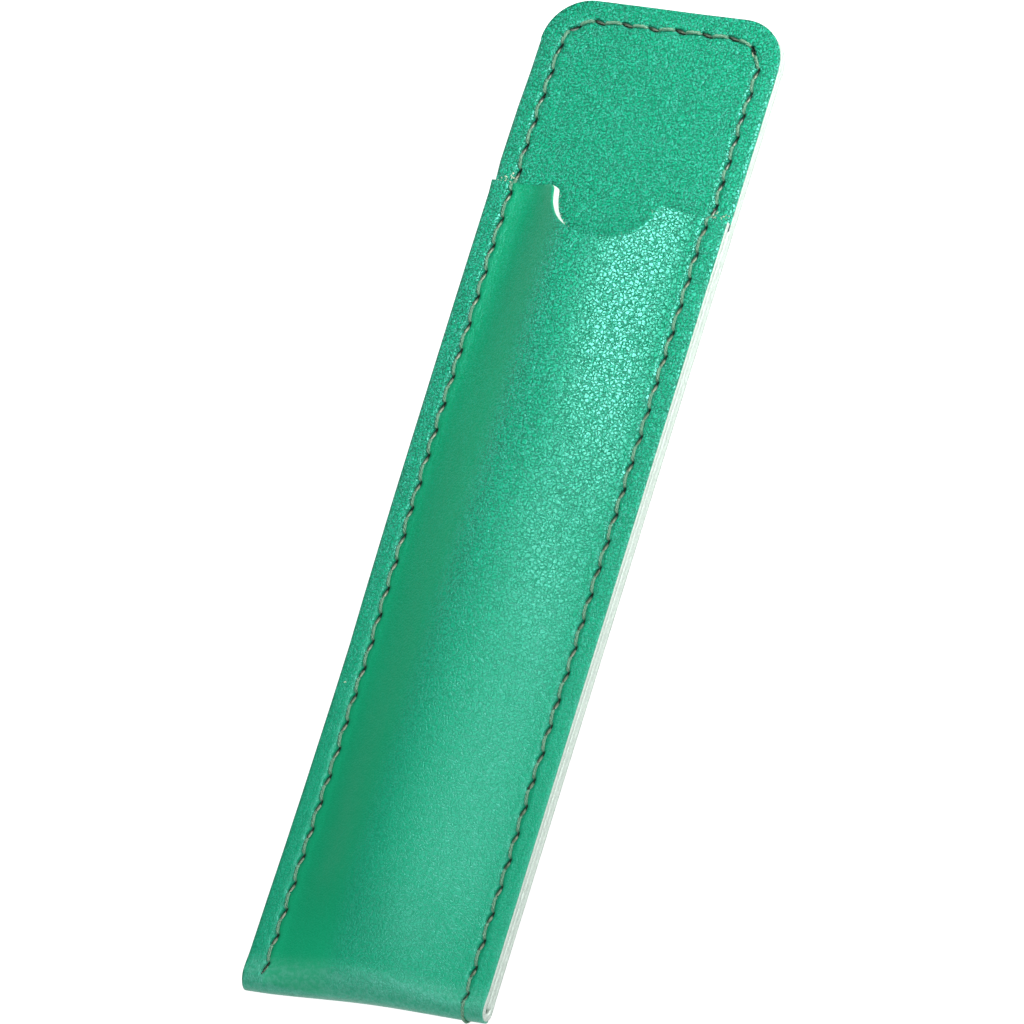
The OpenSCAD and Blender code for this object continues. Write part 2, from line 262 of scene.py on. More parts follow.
def strip_point(x, v, d):
    """v runs down the back (below 0), round the fold (0 to FOLD_L) and up the front. d is the depth."""
    back = v < 0
    front = v > FOLD_L
    h_back = FOLD_R - v
    hn = FOLD_R + np.maximum(v - FOLD_L, 0)
    t = (hn - FOLD_R) / (mouth_h(x) - FOLD_R)
    top = fold_top(x)
    h_front = mix(top, mouth_h(x), t)
    near_fold = ease((h_front - FOLD_R) / FOLD_EASE)
    lean = dome_slope(x, h_front) * near_fold
    upright = 1 / np.sqrt(1 + lean ** 2)
    z_front = (FRONT_Z - d * upright + crown_rise(h_front) * bump(x, h_front)
               + calm(d) * press(x, h_front, IN_POCKET) * near_fold
               + DOME_UNEVEN * SOFT(x, h_front) * ease((DOME_HALF_W - np.abs(x)) / 6) * near_fold)
    a = np.pi * np.clip(v / FOLD_L, 0, 1) - np.pi / 2
    rise = crown_rise(top) * bump(x, top)
    h_fold = FOLD_R - (FOLD_R - d) * np.cos(a) + (top - FOLD_R) * np.maximum(0, np.sin(a)) ** 2
    z_fold = BACK_Z + d + (2 * (FOLD_R - d) + rise) * (1 + np.sin(a)) / 2
    z_back = BACK_Z + d - 0.8 * calm(d) * press(x, h_back, EVERY) * ease((h_back - FOLD_R) / FOLD_EASE)
    h = np.where(back, h_back, np.where(front, h_front, h_fold))
    tuck = film_tuck(x, d) * ease(1 - v / (0.35 * FOLD_L))
    round_off = CORNER_TUCK * np.exp(-((h / 1.3) ** 2)) * ease(1 - (HALF_W - np.abs(x)) / 2)
    h = h - hang(x, h)
    x = x - np.sign(x) * (tuck + round_off) + d * lean * upright * front
    z = np.where(back, z_back, np.where(front, z_front, z_fold))
    return np.stack([sway(x, h), FOOT_Y + h, z], 1)


def panel_point(z0):
    """The flat inner panel, whose face is at z0 and which lies pressed at its seam as the front does."""
    def point(x, v, d):
        shown = ease((v - POCKET_H + 9) / 4)
        uneven = PANEL_UNEVEN * SOFT(x, v) * ease((SEAM_X - np.abs(x)) / 4)
        z = z0 - d + shown * (calm(d) * press(x, v, ~IN_POCKET) + uneven)
        x = x - np.sign(x) * film_tuck(x, d) * ease((mouth_h(x) - 0.8 - v) / 0.6)
        return np.stack([sway(x, v), FOOT_Y + v, z], 1)
    return point


# Meshes from flat cuts of leather
def resample(points, step):
    """Points at an even step along an open line."""
    points = np.asarray(points, float)
    length = np.concatenate([[0], np.cumsum(np.hypot(*np.diff(points, axis=0).T))])
    n = max(2, int(round(length[-1] / step)) + 1)
    at = np.linspace(0, length[-1], n)
    return np.stack([np.interp(at, length, points[:, 0]), np.interp(at, length, points[:, 1])], 1)


def outline(low_line, high_line, step):
    """A closed anticlockwise loop between a lower and an upper line that both run from left to right."""
    low, high = resample(low_line, step), resample(high_line, step)
    right = resample([low_line[-1], high_line[-1]], step)
    left = resample([high_line[0], low_line[0]], step)
    return np.concatenate([low[:-1], right[:-1], high[::-1][:-1], left[:-1]])


def grown(loop, by):
    """A small loop moved outwards from its middle."""
    middle = loop.mean(0)
    away = loop - middle
    return middle + away * (1 + by / np.hypot(*away.T))[:, None]


def slot_loop(centre, axis, n=14):
    """An oval slot, clockwise because it is a hole."""
    a = -np.linspace(0, 2 * np.pi, n, endpoint=False)
    side = np.array([-axis[1], axis[0]])
    return np.asarray(centre) + np.outer(SLOT_L * np.cos(a), axis) + np.outer(SLOT_W * np.sin(a), side)


def inside_loop(points, loop):
    """Which points lie inside a closed loop."""
    result = np.zeros(len(points), bool)
    order = np.argsort(points[:, 1])
    ys = points[order, 1]
    for (x0, y0), (x1, y1) in zip(loop, np.roll(loop, -1, 0)):
        if y0 == y1:
            continue
        low, high = np.searchsorted(ys, [min(y0, y1), max(y0, y1)])
        some = order[low:high]
        cross = x0 + (points[some, 1] - y0) * (x1 - x0) / (y1 - y0)
        result[some] ^= points[some, 0] < cross
    return result


def scatter(box, level_of, spacings):
    """Points of several triangular grids, each kept where its level applies."""
    (x0, y0), (x1, y1) = box
    parts = []
    for level, step in enumerate(spacings):
        rows = np.arange(y0, y1, step * 0.866)
        columns = np.arange(x0, x1, step)
        gx, gy = np.meshgrid(columns, rows)
        gx = gx + (np.arange(len(rows)) % 2)[:, None] * step / 2
        points = np.stack([gx.ravel(), gy.ravel()], 1)
        points += rng.uniform(-0.06, 0.06, points.shape) * step
        parts.append(points[level_of(points) == level])
    return np.concatenate(parts)


def clear_of(points, loops, gap):
    """Drops the points that come closer to a loop's points than the gap."""
    taken = set()
    for loop in loops:
        for p in np.floor(loop / gap).astype(int):
            for i in (-1, 0, 1):
                for j in (-1, 0, 1):
                    taken.add((p[0] + i, p[1] + j))
    keys = np.floor(points / gap).astype(int)
    keep = np.array([(a, b) not in taken for a, b in keys])
    return points[keep]


# Only points this near to a slot's middle are tested against it
NEAR_SLOT = 3


def triangulate(loops, points):
    """Triangles inside the first loop and outside the others. The loops' points come first."""
    flat = np.concatenate(loops)
    points = points[inside_loop(points, loops[0])]
    for loop in loops[1:]:
        near = np.hypot(*(points - loop.mean(0)).T) < NEAR_SLOT
        hit = np.zeros(len(points), bool)
        hit[near] = inside_loop(points[near], loop)
        points = points[~hit]
    every = np.concatenate([flat, points])
    edges, start = [], 0
    for loop in loops:
        n = len(loop)
        edges += [(start + i, start + (i + 1) % n) for i in range(n)]
        start += n
    _, _, faces, origin, _, _ = delaunay_2d_cdt([Vector(p) for p in every], edges, [], 0, 1e-6)
    back = np.array([o[0] for o in origin])
    tris = back[np.array([list(f) for f in faces])]
    centre = every[tris].mean(1)
    keep = inside_loop(centre, loops[0])
    for loop in loops[1:]:
        near = np.hypot(*(centre - loop.mean(0)).T) < NEAR_SLOT
        hit = np.zeros(len(centre), bool)
        hit[near] = inside_loop(centre[near], loop)
        keep &= ~hit
    return every, tris[keep]


def make_object(name, points, faces, material):
    mesh = bpy.data.meshes.new(name)
    mesh.from_pydata((np.asarray(points) * MM).tolist(), [], faces)
    mesh.validate()
    mesh.polygons.foreach_set("use_smooth", [True] * len(mesh.polygons))
    mesh.materials.append(material)
    mesh.update()
    obj = bpy.data.objects.new(name, mesh)
    bpy.context.scene.collection.objects.link(obj)
    return obj


def ply_piece(name, material, loops, fine, coarse, point, depths, rim_shape, slot_shape):
    """A closed layer: a fine outer face, a coarser inner face and a rim round every cut and hole."""
    outer, outer_tris = triangulate(loops, clear_of(fine, loops, 0.12))
    inner, inner_tris = triangulate(loops, clear_of(coarse, loops, 0.25))
    d0, d1 = depths
    top = point(outer[:, 0], outer[:, 1], np.full(len(outer), d0))
    low = point(inner[:, 0], inner[:, 1], np.full(len(inner), d1))
    rims, rim_faces, start = [], [], 0
    base = len(top) + len(low)
    for k, loop in enumerate(loops):
        n = len(loop)
        ids = np.arange(start, start + n)
        rows = [ids]
        tangent = np.roll(loop, -1, 0) - np.roll(loop, 1, 0)
        normal = np.stack([tangent[:, 1], -tangent[:, 0]], 1)
        normal /= np.maximum(np.hypot(*normal.T), 1e-9)[:, None]
        for depth, bulge, rough in (slot_shape if k else rim_shape):
            out = bulge + rough * EDGE(loop[:, 0] * 3 + 41 * depth, loop[:, 1] * 3 + 67 * depth)
            moved = loop + normal * out[:, None]
            rims.append(point(moved[:, 0], moved[:, 1], np.full(n, d0 + depth)))
            rows.append(np.arange(base, base + n))
            base += n
        rows.append(len(top) + ids)
        for a, b in zip(rows[:-1], rows[1:]):
            a2, b2 = np.roll(a, -1), np.roll(b, -1)
            rim_faces += np.stack([a, b, b2, a2], 1).tolist()
        start += n
    points = np.concatenate([top, low] + rims)
    faces = outer_tris.tolist() + (inner_tris[:, ::-1] + len(top)).tolist() + rim_faces
    return make_object(name, points, faces, material)


# Materials
def new_material(name):
    material = bpy.data.materials.new(name)
    material.use_nodes = True
    tree = material.node_tree
    shader = tree.nodes["Principled BSDF"]
    return material, tree, shader


class Graph:
    """Short calls for the nodes of one material."""

    def __init__(self, tree):
        self.tree = tree
        self.position = self.node("ShaderNodeTexCoord").outputs["Object"]

    def node(self, kind, inputs=None, **settings):
        made = self.tree.nodes.new(kind)
        for key, value in settings.items():
            setattr(made, key, value)
        for key, value in (inputs or {}).items():
            if isinstance(value, bpy.types.NodeSocket):
                self.tree.links.new(value, made.inputs[key])
            else:
                made.inputs[key].default_value = value
        return made

    def math(self, operation, a, b=0.0):
        return self.node("ShaderNodeMath", {0: a, 1: b}, operation=operation).outputs[0]

    def plus(self, a, b):
        return self.math("ADD", a, b)

    def minus(self, a, b):
        return self.math("SUBTRACT", a, b)

    def times(self, a, b):
        return self.math("MULTIPLY", a, b)

    def largest(self, a, b, c):
        return self.math("MAXIMUM", a, self.math("MAXIMUM", b, c))

    def noise(self, scale, detail=2.0, rough=0.5, vector=None, field="Fac"):
        inputs = {"Vector": vector or self.position, "Scale": scale, "Detail": detail, "Roughness": rough}
        return self.node("ShaderNodeTexNoise", inputs).outputs[field]

    def voronoi(self, scale, vector, feature="F1"):
        made = self.node("ShaderNodeTexVoronoi", {"Vector": vector, "Scale": scale}, feature=feature)
        return made.outputs["Distance"]

    def warp(self, scale, amount, vector=None):
        """A place moved about by noise, so that a pattern drawn there winds."""
        noise = self.noise(scale, vector=vector, field="Color")
        middle = self.node("ShaderNodeVectorMath", {0: noise, 1: (0.5, 0.5, 0.5)}, operation="SUBTRACT")
        scaled = {0: middle.outputs[0], "Scale": amount}
        offset = self.node("ShaderNodeVectorMath", scaled, operation="SCALE")
        inputs = {0: vector or self.position, 1: offset.outputs[0]}
        return self.node("ShaderNodeVectorMath", inputs, operation="ADD").outputs[0]

    def span(self, value, low, high, to_low=0.0, to_high=1.0, smooth=True):
        ends = {"Value": value, "From Min": low, "From Max": high, "To Min": to_low, "To Max": to_high}
        kind = "SMOOTHSTEP" if smooth else "LINEAR"
        return self.node("ShaderNodeMapRange", ends, interpolation_type=kind).outputs[0]

    def blend(self, fac, a, b):
        made = self.node("ShaderNodeMix", {0: fac}, data_type="RGBA")
        for socket, value in ((6, a), (7, b)):
            if isinstance(value, bpy.types.NodeSocket):
                self.tree.links.new(value, made.inputs[socket])
            else:
                made.inputs[socket].default_value = (*value, 1)
        return made.outputs[2]

    def join(self, output, socket):
        self.tree.links.new(output, socket)

    def place(self):
        """The three coordinates: across, along and up."""
        parts = self.node("ShaderNodeSeparateXYZ", {0: self.position})
        return parts.outputs[0], parts.outputs[1], parts.outputs[2]

    def seam_depth(self, ramp):
        """How deep a place lies under the nearer sewn face. The front's face steps down at the mouth."""
        across, along, up_z = self.place()
        square = self.plus(along, self.times(across, TILT))
        mouth_y = at_height(POCKET_H)
        face = self.span(square, mouth_y - ramp, mouth_y + ramp, FRONT_Z * MM, TAB_Z * MM, smooth=False)
        return self.math("MINIMUM", self.minus(face, up_z), self.minus(up_z, BACK_Z * MM))


def at_height(h):
    """The y in metres of a height over the foot."""
    return (FOOT_Y + h) * MM


# Painted light among these colours: the crease, flank and hole greens and the hole thread are painted
# shade, the vein green is painted highlight, and the stretched green is partly a painted sheen
CREASE_SHADE_GREEN, PEBBLE_GREEN, DEEP_GREEN = (0.002, 0.14, 0.068), (0.0045, 0.34, 0.172), (0.003, 0.30, 0.145)
FLANK_SHADE_GREEN, HIGHLIGHT_VEIN_GREEN, STRETCHED_SHEEN_GREEN = (0.001, 0.34, 0.135), (0.06, 0.58, 0.40), (0.12, 0.45, 0.33)
HOLE_SHADE_GREEN, HOLE_SHADE_THREAD = (0.001, 0.02, 0.01), (0.004, 0.02, 0.01)
THREAD_DARK, THREAD_PALE, THREAD_SOILED = (0.05, 0.17, 0.10), (0.22, 0.44, 0.30), (0.09, 0.26, 0.165)
FIBRE_DARK, FIBRE_PALE = (0.58, 0.70, 0.62), (0.78, 0.87, 0.81)
GLUE_GREEN, GLUE_PALE = (0.22, 0.42, 0.26), (0.72, 0.76, 0.60)


def leather_material(name, grain):
    """The green film: flat pebbles and narrow winding creases under a satin finish, with painted shade in
    the creases and thin lines of painted highlight.
    """
    material, tree, shader = new_material(name)
    g = Graph(tree)
    across, along, up_z = g.place()

    # The grain is shallower towards the fold, and on the front's left flank
    flank = g.times(g.span(across, -3 * MM, -8 * MM), g.span(across, -16.6 * MM, -15.6 * MM))
    flank = g.times(flank, g.span(up_z, 3.8 * MM, 4.4 * MM))
    crisp = g.span(along, at_height(27.3), at_height(112.3), 0.28, 1.0)
    crisp = g.times(crisp, g.minus(1.0, g.times(flank, 0.62)))

    # Pebbles of about half a millimetre with creases between them, on slower unevenness
    winding = g.warp(2200, 0.4 * MM, g.warp(700, 1.0 * MM))
    pebble = g.span(g.voronoi(1800, winding, "DISTANCE_TO_EDGE"), 0.0, 0.18)
    fine = g.noise(3200, 2, 0.55)
    soft = g.noise(330, 3, 0.55)
    height = g.plus(pebble, g.times(fine, 0.25))
    height = g.plus(g.times(height, crisp), g.times(soft, 0.4))
    bumped = g.node("ShaderNodeBump", {"Strength": 1.0, "Distance": grain, "Height": height}).outputs[0]

    # Painted shade in the creases, a deeper green in wide patches, painted shade on the left flank and thin
    # lines of painted highlight
    top = g.span(g.plus(g.times(pebble, 0.8), g.times(fine, 0.3)), 0.2, 0.85)
    top = g.plus(0.75, g.times(crisp, g.minus(top, 0.75)))
    colour = g.blend(top, CREASE_SHADE_GREEN, PEBBLE_GREEN)
    patch = g.span(g.plus(g.noise(60, 2, 0.5), g.times(soft, 0.5)), 0.5, 1.0, 0.0, 0.2)
    colour = g.blend(patch, colour, DEEP_GREEN)
    # Painted shade: the left flank, which faces away from the light, is painted a purer green
    colour = g.blend(g.times(flank, 0.6), colour, FLANK_SHADE_GREEN)
    # Painted highlight: thin winding lines painted pale green, where crease walls would catch the light
    line = g.math("ABSOLUTE", g.minus(g.noise(2000, 1.5), 0.5))
    highlight_vein = g.times(g.span(line, 0.055, 0.0), crisp)
    colour = g.blend(g.times(highlight_vein, 0.8), colour, HIGHLIGHT_VEIN_GREEN)

    # Paler and speckled where the fold stretches it, and a painted sheen along the fold
    speckle = g.span(g.noise(1500, 4, 0.7), 0.40, 0.66, 0.35, 1.0)
    stretched_and_sheen = g.times(g.span(along, at_height(5.475), at_height(2.075)), speckle)
    colour = g.blend(g.times(stretched_and_sheen, 0.5), colour, STRETCHED_SHEEN_GREEN)

    # Painted shade on the walls of the stitch holes, which lie only in the margins
    hole_shade = g.times(g.span(g.seam_depth(0.1 * MM), 0.5 * MM, 0.8 * MM),
                      g.span(along, at_height(2.275), at_height(3.075)))
    hole_shade = g.times(hole_shade, g.span(g.math("ABSOLUTE", across), 14.0 * MM, 14.8 * MM))
    colour = g.blend(hole_shade, colour, HOLE_SHADE_GREEN)
    g.join(colour, shader.inputs["Base Color"])
    roughness = g.plus(g.span(top, 0, 1, 0.50, 0.32), g.times(g.minus(1.0, crisp), 0.08))
    g.join(roughness, shader.inputs["Roughness"])
    g.join(bumped, shader.inputs["Normal"])
    shader.inputs["Specular IOR Level"].default_value = 0.85
    shader.inputs["Specular Tint"].default_value = (0.46, 0.9, 1.0, 1)
    return material


def base_material():
    """The white base's cut: fibres and small pores."""
    material, tree, shader = new_material("white_base")
    g = Graph(tree)
    fibre = g.noise(3800, 5, 0.7, g.warp(900, 0.6 * MM))
    pores = g.voronoi(2600, g.warp(1200, 0.4 * MM))
    height = g.plus(fibre, g.times(pores, 0.7))
    bumped = g.node("ShaderNodeBump", {"Strength": 0.9, "Distance": 0.10 * MM, "Height": height}).outputs[0]
    g.join(g.blend(g.span(fibre, 0.35, 0.7), FIBRE_DARK, FIBRE_PALE), shader.inputs["Base Color"])
    g.join(bumped, shader.inputs["Normal"])
    shader.inputs["Roughness"].default_value = 0.92
    shader.inputs["Specular IOR Level"].default_value = 0.2
    return material


def glue_material():
    """Dried glue: cloudy, pale and lumpy."""
    material, tree, shader = new_material("dried_glue")
    g = Graph(tree)
    lump = g.noise(1700, 4, 0.65)
    bumped = g.node("ShaderNodeBump", {"Strength": 0.8, "Distance": 0.12 * MM, "Height": lump}).outputs[0]
    g.join(g.blend(g.span(lump, 0.3, 0.72), GLUE_GREEN, GLUE_PALE), shader.inputs["Base Color"])
    g.join(bumped, shader.inputs["Normal"])
    shader.inputs["Roughness"].default_value = 0.5
    return material


def thread_material():
    """Pale grey-green twisted thread with fine hairs, soiled in places, with painted shade where it lies
    deep in the holes.
    """
    material, tree, shader = new_material("seam_thread")
    g = Graph(tree)
    hairs = g.noise(6500, 4, 0.7, g.warp(1500, 0.5 * MM))
    bumped = g.node("ShaderNodeBump", {"Strength": 0.7, "Distance": 0.06 * MM, "Height": hairs}).outputs[0]
    colour = g.blend(g.span(hairs, 0.3, 0.7), THREAD_DARK, THREAD_PALE)
    colour = g.blend(g.span(g.noise(380, 2, 0.5), 0.4, 0.7, 0, 0.4), colour, THREAD_SOILED)
    along = g.place()[1]
    # Painted shade on the thread where it lies deep in the holes
    hole_shade = g.times(g.span(g.seam_depth(1.0 * MM), 0.1 * MM, 0.5 * MM),
                      g.span(along, at_height(1.675), at_height(2.275)))
    g.join(g.blend(hole_shade, colour, HOLE_SHADE_THREAD), shader.inputs["Base Color"])
    g.join(bumped, shader.inputs["Normal"])
    shader.inputs["Roughness"].default_value = 0.55
    return material


GREEN = leather_material("green_film", 0.11 * MM)
WHITE = base_material()
GLUE = glue_material()
THREAD = thread_material()

# The leather pieces
FINE_STEP, MARGIN_STEP, WIDE_STEP = 0.2, 0.38, 0.75


def slots(which, to_v=lambda h: h):
    """The slots of some of the holes. to_v turns a height into the flat cut's v."""
    return [slot_loop((x, to_v(h)), axis) for (x, h, _), axis in zip(HOLES[which], SLOT_AXIS[which])]


def mirrored(axis):
    """A slot's direction on the back, whose v runs the other way."""
    return np.array([axis[0], -axis[1]])


def front_v(h):
    return h - FOLD_R + FOLD_L


def back_v(h):
    return FOLD_R - h


def tab_line(inset, n=15):
    """The tab's rounded top from left to right, as x and h."""
    r = TAB_CORNER_R - inset
    w, top = HALF_W - inset, SLEEVE_L - inset
    a = np.linspace(0, np.pi / 2, n)
    left = np.stack([-(w - r) - r * np.cos(a), top - r + r * np.sin(a)], 1)
    return np.concatenate([left, (left * [-1, 1])[::-1]])


EDGE_STEP = 0.3
NOTCH_LEFT, NOTCH_RIGHT = NOTCH_X - NOTCH_W / 2, NOTCH_X + NOTCH_W / 2
ARC = NOTCH_X + MEET_X * np.sin(np.linspace(-np.pi / 2, np.pi / 2, 90))
STRAIGHT_N, SHOULDER_N = 20, 14
MOUTH_X = np.concatenate([np.linspace(-HALF_W, NOTCH_LEFT, STRAIGHT_N)[:-1],
                          np.linspace(NOTCH_LEFT, NOTCH_X - MEET_X, SHOULDER_N)[:-1],
                          ARC[:-1],
                          np.linspace(NOTCH_X + MEET_X, NOTCH_RIGHT, SHOULDER_N)[:-1],
                          np.linspace(NOTCH_RIGHT, HALF_W, STRAIGHT_N)])
back_line = tab_line(0) * [1, -1] + [0, FOLD_R]
mouth_line = np.stack([MOUTH_X, front_v(edge_h(MOUTH_X))], 1)
strip_outline = outline(back_line, mouth_line, EDGE_STEP)
back_slots = [slot_loop((x, back_v(h)), mirrored(axis)) for (x, h, _), axis in zip(HOLES, SLOT_AXIS)]
strip_loops = [strip_outline] + slots(IN_POCKET, front_v) + back_slots


def strip_level(seam_level, margin_level, wide_level):
    def level(p):
        x, v = p[:, 0], p[:, 1]
        h = np.where(v < 0, FOLD_R - v, FOLD_R + np.maximum(v - FOLD_L, 0))
        seam = seam_distance(x, h)
        on_front = v > FOLD_L
        side = np.where(on_front, np.abs(np.abs(x) - SEAM_X), seam)
        near_mouth = on_front & (edge_h(x) - h < 1.6)
        in_fold = (v > -0.8) & (v < FOLD_L + 3)
        medium = (side < 2.2) | near_mouth | in_fold | (np.abs(x) > SEAM_X)
        return np.where(side < 0.9, seam_level, np.where(medium, margin_level, wide_level))
    return level


strip_box = ((-HALF_W, back_v(SLEEVE_L)), (HALF_W, front_v(POCKET_H + 1)))
strip_fine = scatter(strip_box, strip_level(0, 1, 2), (FINE_STEP, MARGIN_STEP, WIDE_STEP))
strip_coarse = scatter(strip_box, strip_level(0, 0, 1), (0.55, 1.3))
# Rims, as rows of depth under the outer face, bulge and roughness. The film is dragged down into its slots
FILM_RIM = [(0.10, 0.02, 0.01), (0.22, 0.01, 0.01)]
FILM_SLOT = [(0.15, -0.03, 0.0), (0.45, -0.06, 0.0), (0.95, -0.09, 0.0)]
BASE_RIM = [(0.10, 0.02, 0.02), (0.33, 0.05, 0.03), (0.60, 0.05, 0.03), (0.86, 0.02, 0.02)]
BASE_SLOT = [(0.5, 0.0, 0.0)]
base_loops = [strip_outline] + [grown(loop, 0.12) for loop in strip_loops[1:]]
strip_film = ply_piece("outer_strip_skin", GREEN, strip_loops, strip_fine, strip_coarse, strip_point,
                       (0, FILM_T), FILM_RIM, FILM_SLOT)
strip_base = ply_piece("outer_strip_core", WHITE, base_loops, strip_coarse, strip_coarse, strip_point,
                       (FILM_T + 0.01, PLY_T), BASE_RIM, BASE_SLOT)

PANEL_FOOT = FOLD_R + FOLD_GAP
panel_outline = outline([(-HALF_W, PANEL_FOOT), (HALF_W, PANEL_FOOT)], tab_line(0), EDGE_STEP)
panel_loops = [panel_outline] + slots(HOLES[:, 1] > PANEL_FOOT + 1)


def panel_level(seam_level, margin_level, wide_level, hidden_level):
    def level(p):
        x, h = p[:, 0], p[:, 1]
        seam = seam_distance(x, h)
        shown = h > edge_h(x) - 3
        seen_level = np.where(seam < 0.9, seam_level, np.where(seam < 2.4, margin_level, wide_level))
        return np.where(shown, seen_level, hidden_level)
    return level


panel_box = ((-HALF_W, PANEL_FOOT), (HALF_W, SLEEVE_L))
panel_fine = scatter(panel_box, panel_level(0, 1, 2, 3), (FINE_STEP, MARGIN_STEP, WIDE_STEP, 1.6))
panel_coarse = scatter(panel_box, panel_level(0, 0, 1, 2), (0.55, 1.3, 2.0))
panel_base_loops = [panel_outline] + [grown(loop, 0.12) for loop in panel_loops[1:]]
panel_film = ply_piece("tab_panel_skin", GREEN, panel_loops, panel_fine, panel_coarse,
                       panel_point(TAB_Z), (0, FILM_T), FILM_RIM, FILM_SLOT)
panel_base = ply_piece("tab_panel_core", WHITE, panel_base_loops, panel_coarse, panel_coarse,
                       panel_point(TAB_Z), (FILM_T + 0.01, PLY_T), BASE_RIM, BASE_SLOT)

# Glue between the layers
glue_foot = [(-HALF_W + GLUE_INSET, PANEL_FOOT), (HALF_W - GLUE_INSET, PANEL_FOOT)]
glue_outline = outline(glue_foot, tab_line(GLUE_INSET), 0.8)
glue_points = scatter(panel_box, lambda p: np.zeros(len(p)), (1.8,))
back_glue = ply_piece("back_glue_sheet", GLUE, [glue_outline], glue_points, glue_points,
                      panel_point(PANEL_Z), (0.0, GLUE_T), [(0.05, 0.05, 0.08)], [])


def margin_glue(name, side):
    """The glue under one margin of the front. It is squeezed out in an uneven ridge at the mouth."""
    inner, outer = DOME_HALF_W, HALF_W - GLUE_INSET
    xs = np.sort(np.array([side * inner, side * outer]))
    low = [(xs[0], PANEL_FOOT), (xs[1], PANEL_FOOT)]
    line_x = np.linspace(xs[0], xs[1], 30)
    high = np.stack([line_x, mouth_h(line_x) + 0.12 + 0.08 * EDGE(line_x, line_x * 0)], 1)
    loop = outline(low, high, 0.25)
    points = scatter(((xs[0], PANEL_FOOT), (xs[1], POCKET_H + 3)),
                     lambda p: np.where(p[:, 1] > mouth_h(p[:, 0]) - 1, 0, 1), (0.16, 1.4))

    def point(x, v, d):
        past = np.clip((v - mouth_h(x)) / 0.25, 0, 1)
        ridge = past * np.exp(-np.maximum(v - mouth_h(x) - 0.2, 0) / 0.45)
        lumps = 0.5 + 0.5 * EDGE(x * 1.7, v * 1.7)
        z = TAB_Z + GLUE_T - d + np.where(d < GLUE_T / 2, 0.12 * ridge * np.clip(lumps, 0, 1.6), 0)
        return np.stack([sway(x, v), FOOT_Y + v, z], 1)
    return ply_piece(name, GLUE, [loop], points, points, point, (0.0, GLUE_T), [(0.05, 0.02, 0.03)], [])


left_glue = margin_glue("left_margin_glue_line", -1)
right_glue = margin_glue("right_margin_glue_line", 1)


def band(row, above, n):
    """The quads between two rings of n points, each ring given by its first point's number."""
    return [(row + i, row + (i + 1) % n, above + (i + 1) % n, above + i) for i in range(n)]


def flecks(name, spots, material):
    """Small uneven lumps, each given as x, h, the height of the face under it and a size."""
    points, faces = [], []
    around, up_steps = 8, 4
    a = np.linspace(0, 2 * np.pi, around, endpoint=False)
    for x, h, z, size in spots:
        start = len(points)
        stretch, turn = rng.uniform(0.6, 1.6), rng.uniform(0, np.pi)
        for level in range(up_steps):
            r = size * math.cos(level / up_steps * np.pi / 2)
            rough = r * (1 + 0.25 * rng.normal(size=around))
            u, w = rough * np.cos(a) * stretch, rough * np.sin(a) / stretch
            px, ph = u * math.cos(turn) - w * math.sin(turn), u * math.sin(turn) + w * math.cos(turn)
            pz = z - 0.03 + 0.55 * size * math.sin(level / up_steps * np.pi / 2)
            points += [(float(sway(x + i, h)), FOOT_Y + h + j, pz) for i, j in zip(px, ph)]
        points.append((float(sway(x, h)), FOOT_Y + h, z - 0.03 + 0.55 * size))
        for level in range(up_steps - 1):
            faces += band(start + level * around, start + (level + 1) * around, around)
        tip = start + up_steps * around
        faces += [(tip - around + i, tip - around + (i + 1) % around, tip) for i in range(around)]
        faces.append(tuple(range(start, start + around))[::-1])
    return make_object(name, points, faces, material)


def mouth_corner_spots(side, count, low, high):
    """Dried glue on the panel just above one end of the mouth, in specks of random size across the margin.
    """
    x = side * rng.uniform(SEAM_X - 0.2, HALF_W - 0.5, count)
    h = mouth_h(x) + 0.1 + np.abs(rng.normal(0, 0.8, count))
    return [(a, b, TAB_Z, c) for a, b, c in zip(x, h, rng.uniform(low, high, count))]


# One fleck lies by itself on the front's left margin
glue_spots = mouth_corner_spots(-1, 40, 0.03, 0.19) + mouth_corner_spots(1, 34, 0.03, 0.17)
glue_spots.append((-18.3, 49.2, FRONT_Z - 0.02, 0.17))
glue_flecks = flecks("dried_glue_flecks", glue_spots, GLUE)


# Twisted thread: one ply's radius and the length of one turn
PLY_R, TURN_L = 0.13, 1.7


def smooth_path(points, step):
    """A Catmull-Rom line through the points, at an even step."""
    p = np.asarray(points, float)
    p = np.concatenate([[2 * p[0] - p[1]], p, [2 * p[-1] - p[-2]]])
    out = []
    for i in range(1, len(p) - 2):
        t = np.linspace(0, 1, 9)[:-1, None]
        a, b, c, d = p[i - 1], p[i], p[i + 1], p[i + 2]
        square, cube = 2 * a - 5 * b + 4 * c - d, 3 * b - a - 3 * c + d
        out.append(0.5 * (2 * b + (c - a) * t + square * t ** 2 + cube * t ** 3))
    line = np.concatenate(out + [p[-2:-1]])
    length = np.concatenate([[0], np.cumsum(np.linalg.norm(np.diff(line, axis=0), axis=1))])
    at = np.linspace(0, length[-1], int(length[-1] / step) + 2)
    return np.stack([np.interp(at, length, line[:, k]) for k in range(3)], 1), at


